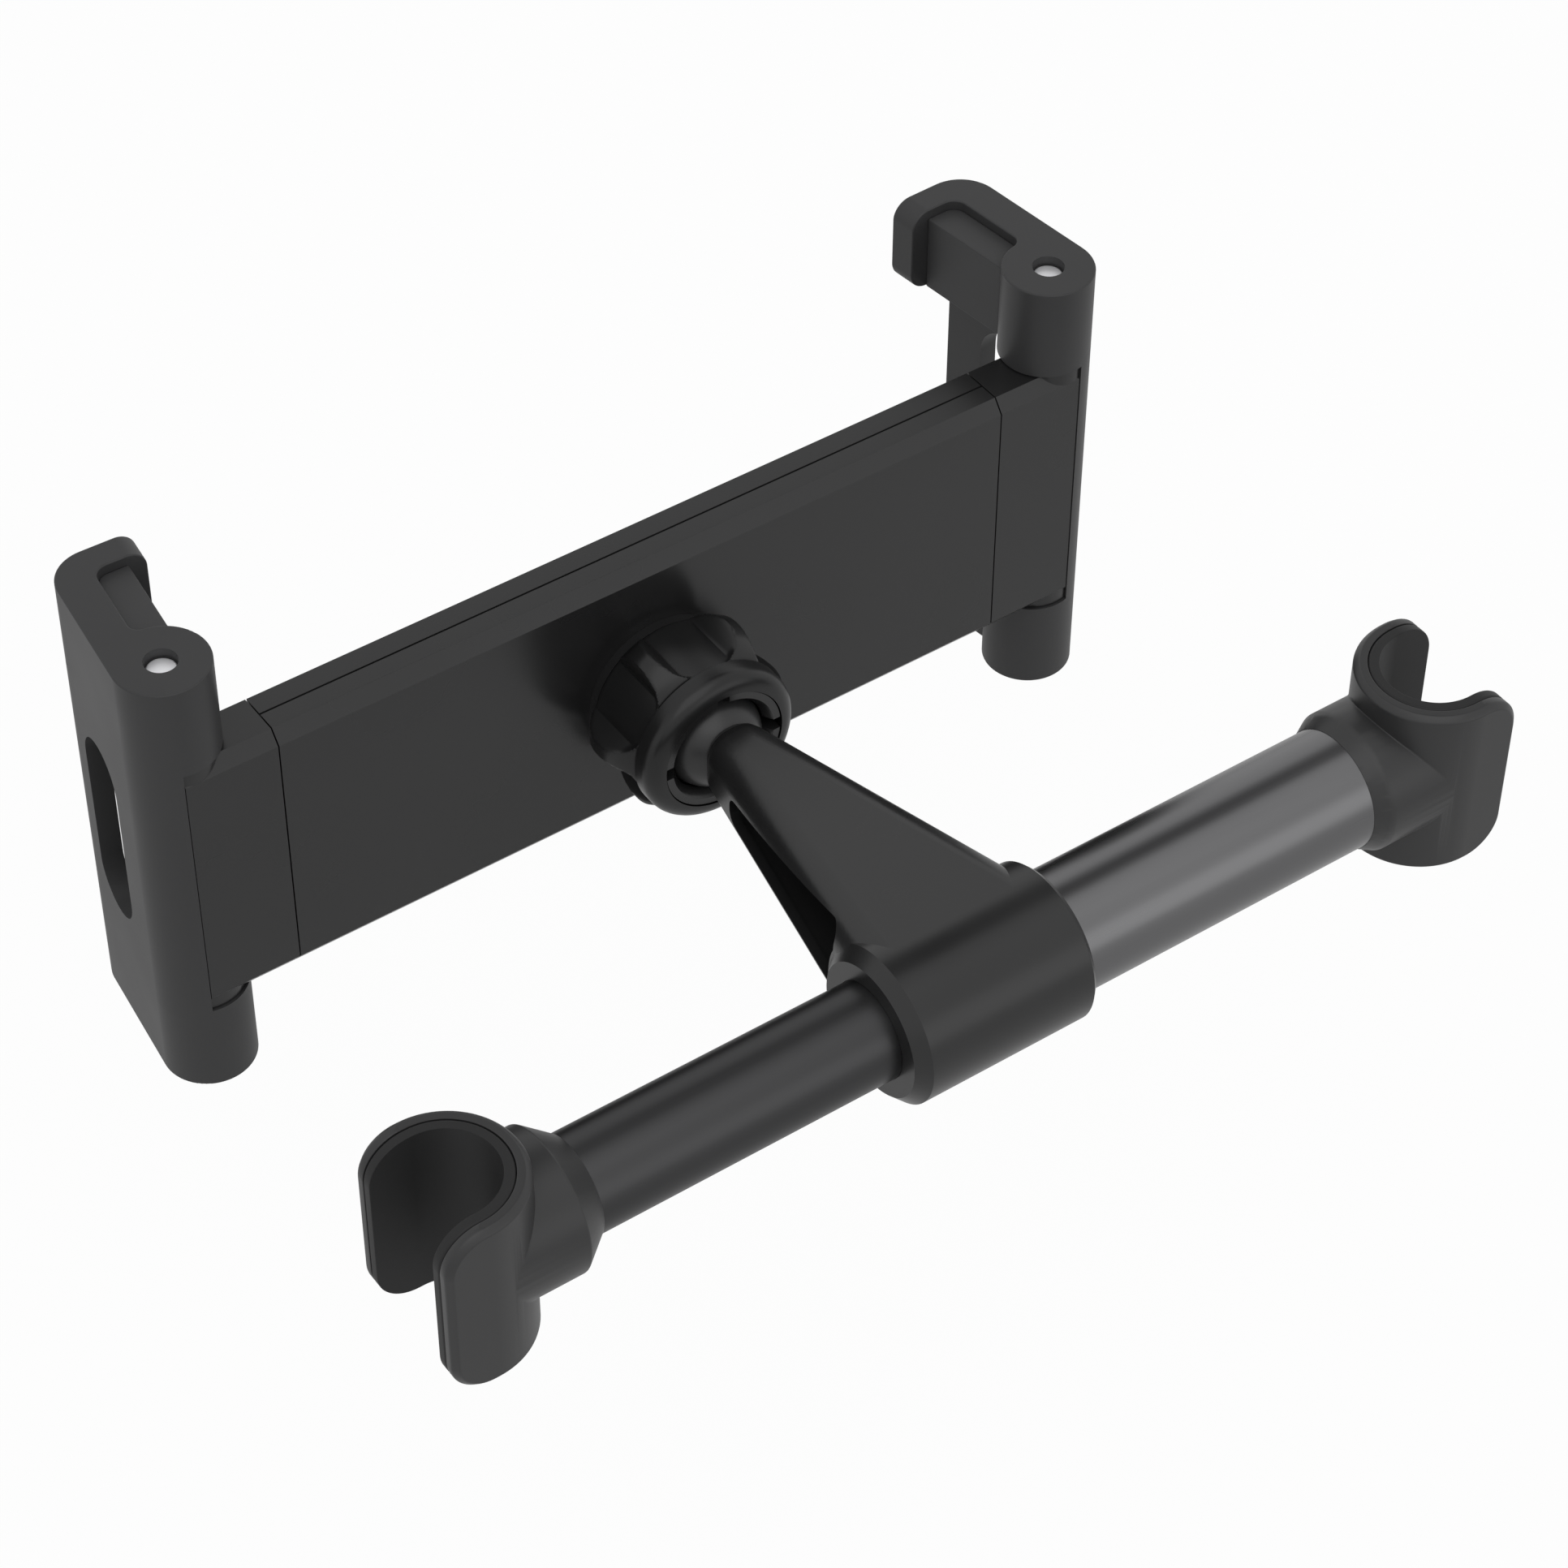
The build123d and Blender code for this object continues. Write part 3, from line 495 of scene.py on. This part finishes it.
def fin_height(turn, y):
    """How far the ring's outside stands above its body at this turn about the axis."""
    middle = (RIM_Y + RING_END_Y) / 2
    half_long = (RING_END_Y - RIM_Y) / 2
    rise = PEAK_R - BODY_R
    arch_r = (half_long ** 2 + rise ** 2) / (2 * rise)
    arch = math.sqrt(max(arch_r ** 2 - (y - middle) ** 2, 0.0)) - arch_r + rise
    arch = soft_upper(arch, RIM_R - RIM_EDGE - BODY_R - (y - RIM_Y) * LEDGE_FALL)
    pitch = 2 * math.pi / FIN_COUNT
    from_fin = abs((turn - FIN_TURN + pitch / 2) % pitch - pitch / 2)
    half_wide = BODY_R * pitch / 2 - FIN_FOOT_HALF
    across = BODY_R * (pitch / 2 - from_fin)
    out_x = across - half_wide + HOLLOW_CORNER
    out_y = RIM_Y + HOLLOW_CORNER - y
    away = math.hypot(max(out_x, 0.0), max(out_y, 0.0)) + min(max(out_x, out_y), 0.0) - HOLLOW_CORNER
    return soft_upper(soft_lower(FIN_STEEP * away, max(arch, 0.0)), 0.0)


for vertex in ring.data.vertices:
    x, y, z = vertex.co.x - RING_AXIS_X, vertex.co.y, vertex.co.z
    radius = math.hypot(x, z)
    if abs(radius - BODY_R) < ON_BODY and y >= RIM_Y:
        scale = 1 + fin_height(math.atan2(x, z), y) / radius
        vertex.co.x = RING_AXIS_X + x * scale
        vertex.co.z = z * scale
smooth(ring, SHARP)
stand_for(ring, "lock_ring")
print("lock ring, faces:", len(ring.data.polygons))

# %% [markdown]
# ## The springs
# Three coil springs work out of sight. The one in the rod is pressed shorter when the clips are pushed
# together, and the two in the cradle are drawn longer when the jaws are pulled out. Each is copied from the
# CAD and shaded smooth, and stays a rigid coil, which can be left behind or be run through as its joint
# moves.
# The rod's spring rides on its joint's body with a mesh of its own; the two in the cradle stay where the CAD
# has them.

# %% Springs
SPRING_SMOOTH = 60.0


def spring_copy(node):
    """Copy of a CAD spring, shaded smooth."""
    piece = merged_copy(node)
    smooth(piece, SPRING_SMOOTH)
    return piece


low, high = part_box("rod_spring")
rod_spring = stand_for(spring_copy("rod_spring"), "rod_spring")
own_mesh(rod_spring)

for node, slide in (("slide_spring_right", "right_slide"), ("slide_spring_left", "left_slide")):
    spring = spring_copy(node)
    spring.name = node + "_piece"
    still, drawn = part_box(node)
    if slide == "left_slide":
        still, drawn = drawn, still
    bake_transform(spring)
    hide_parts(node)
    print(node, "stretches with", slide)

# %% [markdown]
# ## Node helpers
# Materials are small graphs. A few short helpers add a node with its values, join two sockets and spread a
# value over a range, so that each finish below reads as a list of what it is made of.


# %% Node helpers
def add_node(tree, kind, **values):
    """New node. A value goes to the input of that name, or else to the node's own setting."""
    node = tree.nodes.new(kind)
    for key, value in values.items():
        if key.title() in node.inputs:
            node.inputs[key.title()].default_value = value
        else:
            setattr(node, key, value)
    return node


def join(tree, source, target):
    """Links an output to an input."""
    tree.links.new(source, target)


def new_group(name, inputs, outputs):
    """Empty shader group with named float inputs and named outputs."""
    tree = bpy.data.node_groups.new(name, "ShaderNodeTree")
    for label, value in inputs.items():
        socket = tree.interface.new_socket(label, in_out="INPUT", socket_type="NodeSocketFloat")
        socket.default_value = value
    for label in outputs:
        tree.interface.new_socket(label, in_out="OUTPUT", socket_type="NodeSocketFloat")
    return tree, tree.nodes.new("NodeGroupInput"), tree.nodes.new("NodeGroupOutput")


def spread(tree, source, start, end, low, high, **settings):
    """Value that runs from low to high as the source runs from start to end."""
    node = add_node(tree, "ShaderNodeMapRange", **settings)
    for label, value in zip(("From Min", "From Max", "To Min", "To Max"), (start, end, low, high)):
        node.inputs[label].default_value = value
    join(tree, source, node.inputs["Value"])
    return node.outputs["Result"]


print("slots to finish:", sorted(set(slot_of_node.values())))

# %% [markdown]
# ## Moulded grain
# Black satin plastic takes its look from the tool it was moulded in: a spark-eroded surface of pits a few
# tenths of a millimetre wide, and broad clouds where the gloss differs a little. A picture of such a surface
# could be laid on, but it would show seams. So both are noise on Object coordinates, fine and coarse. The
# group puts out a height for the bump and a mask for gloss and colour.

# %% Moulded grain group
GRAIN_INPUTS = {"Grain": 2600.0, "Cloud": 38.0}
PIT_SHARE = 0.6


def build_moulded_grain():
    """Shader group of fine pits and broad clouds."""
    tree, entry, leave = new_group("moulded_grain", GRAIN_INPUTS, ["Height", "Clouds"])
    place = add_node(tree, "ShaderNodeTexCoord")
    pits = add_node(tree, "ShaderNodeTexVoronoi", feature="SMOOTH_F1", smoothness=0.7)
    fine = add_node(tree, "ShaderNodeTexNoise", detail=2.0, roughness=0.6)
    cloud = add_node(tree, "ShaderNodeTexNoise", detail=3.0, roughness=0.55)
    mix = add_node(tree, "ShaderNodeMath", operation="MULTIPLY_ADD")
    mix.inputs[1].default_value = PIT_SHARE
    for texture, scale in ((pits, "Grain"), (fine, "Grain"), (cloud, "Cloud")):
        join(tree, place.outputs["Object"], texture.inputs["Vector"])
        join(tree, entry.outputs[scale], texture.inputs["Scale"])
    join(tree, pits.outputs["Distance"], mix.inputs[0])
    join(tree, fine.outputs["Fac"], mix.inputs[2])
    join(tree, mix.outputs[0], leave.inputs["Height"])
    join(tree, cloud.outputs["Fac"], leave.inputs["Clouds"])
    return tree


moulded_grain = build_moulded_grain()
print("group", moulded_grain.name, [s.name for s in moulded_grain.interface.items_tree])

# %% [markdown]
# ## Drawn streaks
# A tube is drawn through a die and then coated, which leaves faint streaks along its length. An anisotropic
# shader could stand in for them, but would show no single streak. Noise that is stretched along X gives
# them. The same group serves the pins, with the streaks along Z.

# %% Drawn streaks group
STREAK_LONG = 8.0
STREAK_FINE = 500.0
STREAK_INPUTS = {"Along X": STREAK_LONG, "Along Y": STREAK_FINE, "Along Z": STREAK_FINE}


def build_drawn_streaks():
    """Shader group of noise that is stretched along one axis."""
    tree, entry, leave = new_group("drawn_streaks", STREAK_INPUTS, ["Height", "Streaks"])
    place = add_node(tree, "ShaderNodeTexCoord")
    scale = add_node(tree, "ShaderNodeCombineXYZ")
    stretch = add_node(tree, "ShaderNodeVectorMath", operation="MULTIPLY")
    streak = add_node(tree, "ShaderNodeTexNoise", scale=1.0, detail=4.0, roughness=0.6)
    for axis in "XYZ":
        join(tree, entry.outputs[f"Along {axis}"], scale.inputs[axis])
    join(tree, place.outputs["Object"], stretch.inputs[0])
    join(tree, scale.outputs[0], stretch.inputs[1])
    join(tree, stretch.outputs[0], streak.inputs["Vector"])
    join(tree, streak.outputs["Fac"], leave.inputs["Height"])
    join(tree, streak.outputs["Fac"], leave.inputs["Streaks"])
    return tree


drawn_streaks = build_drawn_streaks()
print("group", drawn_streaks.name, [s.name for s in drawn_streaks.interface.items_tree])

# %% [markdown]
# ## How a finish is made
# Each finish is one Principled shader. A group drives its colour, roughness and bump. What is the same all
# over the surface, such as how it refracts, is set on the shader's own socket. Two plain values could do for
# colour and roughness, but a real surface is never that even.

# %% Finish maker
MASK_START = 0.3
MASK_END = 0.7
BLUE_LIFT = 1.02
GRAIN_DEPTH = 0.02 * MM
STREAK_DEPTH = 0.01 * MM
# A Mix node's colour sockets, which share their names with its other sockets.
MIX_FIRST, MIX_SECOND, MIX_RESULT = 6, 7, 2


def make_finish(name, group, values, mask, tone, rough, bump, depth, **shader_values):
    """Material whose colour, roughness and bump follow one shader group."""
    material = bpy.data.materials.new(name)
    material.use_nodes = True
    tree = material.node_tree
    shader = tree.nodes["Principled BSDF"]
    for label, value in shader_values.items():
        shader.inputs[label].default_value = value
    source = add_node(tree, "ShaderNodeGroup", node_tree=group)
    for label, value in values.items():
        source.inputs[label].default_value = value
    colour = add_node(tree, "ShaderNodeMix", data_type="RGBA")
    for socket, grey in zip((MIX_FIRST, MIX_SECOND), tone):
        colour.inputs[socket].default_value = (grey, grey, grey * BLUE_LIFT, 1.0)
    share = spread(tree, source.outputs[mask], MASK_START, MASK_END, 0.0, 1.0)
    join(tree, share, colour.inputs["Factor"])
    join(tree, colour.outputs[MIX_RESULT], shader.inputs["Base Color"])
    roughness = spread(tree, source.outputs[mask], MASK_START, MASK_END, *rough)
    join(tree, roughness, shader.inputs["Roughness"])
    relief = add_node(tree, "ShaderNodeBump", strength=bump, distance=depth)
    join(tree, source.outputs["Height"], relief.inputs["Height"])
    join(tree, relief.outputs["Normal"], shader.inputs["Normal"])
    return material


def moulded(name, grain, tone, rough, bump, refraction):
    """Moulded plastic or rubber with this grain."""
    return make_finish(name, moulded_grain, {"Grain": grain}, "Clouds", tone, rough, bump, GRAIN_DEPTH,
                       IOR=refraction)


def metal(name, along, tone, rough, bump):
    """Drawn metal with streaks along one axis."""
    values = {"Along X": STREAK_FINE, "Along " + along: STREAK_LONG}
    return make_finish(name, drawn_streaks, values, "Streaks", tone, rough, bump, STREAK_DEPTH, Metallic=1.0)


print("a finish follows its mask from", MASK_START, "to", MASK_END)

# %% [markdown]
# ## The mount's finishes
# Black plastic is nearly as dark as black gets, and what the eye takes for grey on it is the white of the
# room in its gloss. So the mouldings differ more in roughness and refraction than in colour: the cradle and
# arm are smooth, the jaws and clips have a duller skin, and the pads and liners are soft rubber. The inner
# tube is darker and duller than the outer one, so it gets a finish of its own.

# %% Finishes
# Each moulding: name, grain, darkest and lightest tone, least and most roughness, bump, refraction.
# Each metal: name, axis of its streaks, then tones, roughness and bump.
finishes = {
    "body_plastic": moulded("black_body_plastic", 2600.0, (0.012, 0.014), (0.26, 0.31), 0.15, 1.45),
    "jaw_plastic": moulded("black_jaw_plastic", 2600.0, (0.034, 0.037), (0.42, 0.48), 0.2, 1.35),
    "clip_plastic": moulded("black_clip_plastic", 3000.0, (0.024, 0.027), (0.36, 0.42), 0.15, 1.42),
    "ring_plastic": moulded("black_ring_plastic", 3000.0, (0.008, 0.01), (0.28, 0.32), 0.15, 1.39),
    "ball_plastic": moulded("black_ball_plastic", 3600.0, (0.02, 0.022), (0.34, 0.37), 0.1, 1.45),
    "inner_plastic": moulded("black_inner_plastic", 2400.0, (0.05, 0.06), (0.5, 0.58), 0.2, 1.45),
    "liner_rubber": moulded("black_liner_rubber", 1900.0, (0.014, 0.017), (0.5, 0.56), 0.3, 1.33),
    "pad_rubber": moulded("black_pad_rubber", 1900.0, (0.036, 0.04), (0.5, 0.58), 0.3, 1.38),
    "tube_metal": metal("black_tube_metal", "X", (0.145, 0.152), (0.27, 0.3), 0.02),
    "steel": metal("bright_steel", "Z", (0.93, 0.96), (0.5, 0.56), 0.02),
    "spring_steel": metal("bright_spring_steel", "X", (0.4, 0.46), (0.3, 0.4), 0.05),
}
finish_of_node = {node: finishes[slot] for node, slot in slot_of_node.items()}
finish_of_node["inner_tube"] = metal("black_inner_tube_metal", "X", (0.056, 0.06), (0.36, 0.4), 0.02)
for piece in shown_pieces():
    piece.data.materials.clear()
    piece.data.materials.append(finish_of_node[piece.name.removesuffix("_piece")])
print("finishes", sorted(finishes))

# %% [markdown]
# ## The floor
# The photograph is a plain product shot on white. The mount hangs on its posts, so the floor is a pale sheet
# some way below it, which keeps a little of the mount's shadow. A shadow catcher would need a second layer.
# Here the sheet glows for the rays that the camera sees, and is plain paint for the rest.

# %% Floor
WHITE = (1.0, 1.0, 1.0, 1.0)
FLOOR_SIZE = 12.0
FLOOR_DROP = 0.06
FLOOR_TONE = 0.75
FLOOR_ROUGH = 0.9
FLOOR_GLOW = 0.955
FLOOR_GLOSS = 0.2


def ray_share(tree, shares):
    """This share for each kind of ray that is named, and nothing for the other kinds."""
    path = add_node(tree, "ShaderNodeLightPath")
    total = None
    for kind, share in shares.items():
        part = add_node(tree, "ShaderNodeMath", operation="MULTIPLY_ADD")
        join(tree, path.outputs[kind], part.inputs[0])
        part.inputs[1].default_value = share
        part.inputs[2].default_value = 0.0
        if total:
            join(tree, total, part.inputs[2])
        total = part.outputs[0]
    return total


def mix_by_ray(tree, shares, first, second):
    """The first shader, with a share of the second for some kinds of ray."""
    mix = add_node(tree, "ShaderNodeMixShader")
    join(tree, ray_share(tree, shares), mix.inputs["Fac"])
    join(tree, first, mix.inputs[1])
    join(tree, second, mix.inputs[2])
    return mix.outputs[0]


floor_z = cad_low[2] - FLOOR_DROP
bpy.ops.object.select_all(action="DESELECT")
bpy.ops.mesh.primitive_plane_add(size=FLOOR_SIZE, location=(0.0, 0.0, floor_z))
floor = settle()
floor.name = "floor"
floor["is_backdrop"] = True

floor_paint = bpy.data.materials.new("floor_paint")
floor_paint.use_nodes = True
tree = floor_paint.node_tree
paint = tree.nodes["Principled BSDF"]
paint.inputs["Base Color"].default_value = (FLOOR_TONE, FLOOR_TONE, FLOOR_TONE, 1.0)
paint.inputs["Roughness"].default_value = FLOOR_ROUGH
glow = add_node(tree, "ShaderNodeEmission", color=WHITE, strength=1.0)
shares = {"Is Camera Ray": FLOOR_GLOW, "Is Transmission Ray": FLOOR_GLOW, "Is Glossy Ray": FLOOR_GLOSS}
surface = mix_by_ray(tree, shares, paint.outputs[0], glow.outputs[0])
join(tree, surface, tree.nodes["Material Output"].inputs["Surface"])
floor.data.materials.append(floor_paint)
print("floor at", round(floor_z / MM, 1), "mm")

# %% [markdown]
# ## The light tent
# The mount was lit inside a tent. Its cloth is white all round, and the tube mirrors one dark gap in it, high
# up behind the cradle. The world is that tent: white, with a soft dark patch in one direction. A picture of
# a studio could light it too, but would bring its own pattern. The camera itself sees plain white.

# %% Light tent
SOFT_STRENGTH = 0.7
TENT_STRENGTH = 1.0
GAP_TOWARD = (0.41, 0.36, 0.835)
GAP_INSIDE = math.cos(math.radians(9))
GAP_OUTSIDE = math.cos(math.radians(18))
GAP_DARK = 0.03

world = bpy.data.worlds.new("studio")
bpy.context.scene.world = world
world.use_nodes = True
tree = world.node_tree
tree.nodes.clear()
toward = add_node(tree, "ShaderNodeTexCoord")
gap = add_node(tree, "ShaderNodeVectorMath", operation="DOT_PRODUCT")
gap.inputs[1].default_value = [v / math.hypot(*GAP_TOWARD) for v in GAP_TOWARD]
join(tree, toward.outputs["Generated"], gap.inputs[0])
strength = spread(tree, gap.outputs["Value"], GAP_OUTSIDE, GAP_INSIDE, TENT_STRENGTH, GAP_DARK,
                  interpolation_type="SMOOTHSTEP")
tent = add_node(tree, "ShaderNodeBackground", color=WHITE)
join(tree, strength, tent.inputs["Strength"])
soft = add_node(tree, "ShaderNodeBackground", color=WHITE, strength=SOFT_STRENGTH)
plain = add_node(tree, "ShaderNodeBackground", color=WHITE, strength=1.0)
mirrored = mix_by_ray(tree, {"Is Glossy Ray": 1.0}, soft.outputs[0], tent.outputs[0])
seen = mix_by_ray(tree, {"Is Camera Ray": 1.0, "Is Transmission Ray": 1.0}, mirrored, plain.outputs[0])
world_out = add_node(tree, "ShaderNodeOutputWorld")
join(tree, seen, world_out.inputs["Surface"])
print("tent with a gap toward", GAP_TOWARD)

# %% [markdown]
# ## Lamps
# Two soft boxes shine through the tent's cloth, a stronger one from above the camera and a weaker one from
# the front. Small lamps would draw bright spots on the gloss. These are large and far, so that they shape the
# mount without showing in it.

# %% Lamps
LAMP_TARGET = (-0.08, 0.05, 0.0)
# Each lamp: name, place, size, power in watts.
LAMPS = (
    ("overhead_key", (-0.4, -0.67, 1.4), 1.5, 6.0),
    ("front_fill", (0.5, -1.4, 0.1), 1.2, 2.5),
)


def soft_box(name, place, size, power):
    """Square lamp that faces the middle of the mount."""
    lamp = bpy.data.lights.new(name, "AREA")
    lamp.size = size
    lamp.energy = power
    box = bpy.data.objects.new(name, lamp)
    box.location = place
    aim = [t - p for t, p in zip(LAMP_TARGET, place)]
    level = math.hypot(aim[0], aim[1])
    box.rotation_euler = (math.atan2(level, -aim[2]), 0.0, math.atan2(aim[1], aim[0]) - math.pi / 2)
    bpy.context.scene.collection.objects.link(box)


for lamp_values in LAMPS:
    soft_box(*lamp_values)
bpy.context.scene.view_settings.view_transform = "Standard"
print("lamps", [lamp_values[0] for lamp_values in LAMPS])

# %% [markdown]
# ## Size and finish
# The box that the shown pieces take up, in millimetres. The visual model may not
# outgrow the CAD.

# %% Size and finish
low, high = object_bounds()
print("visual box, mm:", [round(v / MM, 2) for v in (*low, *high)])
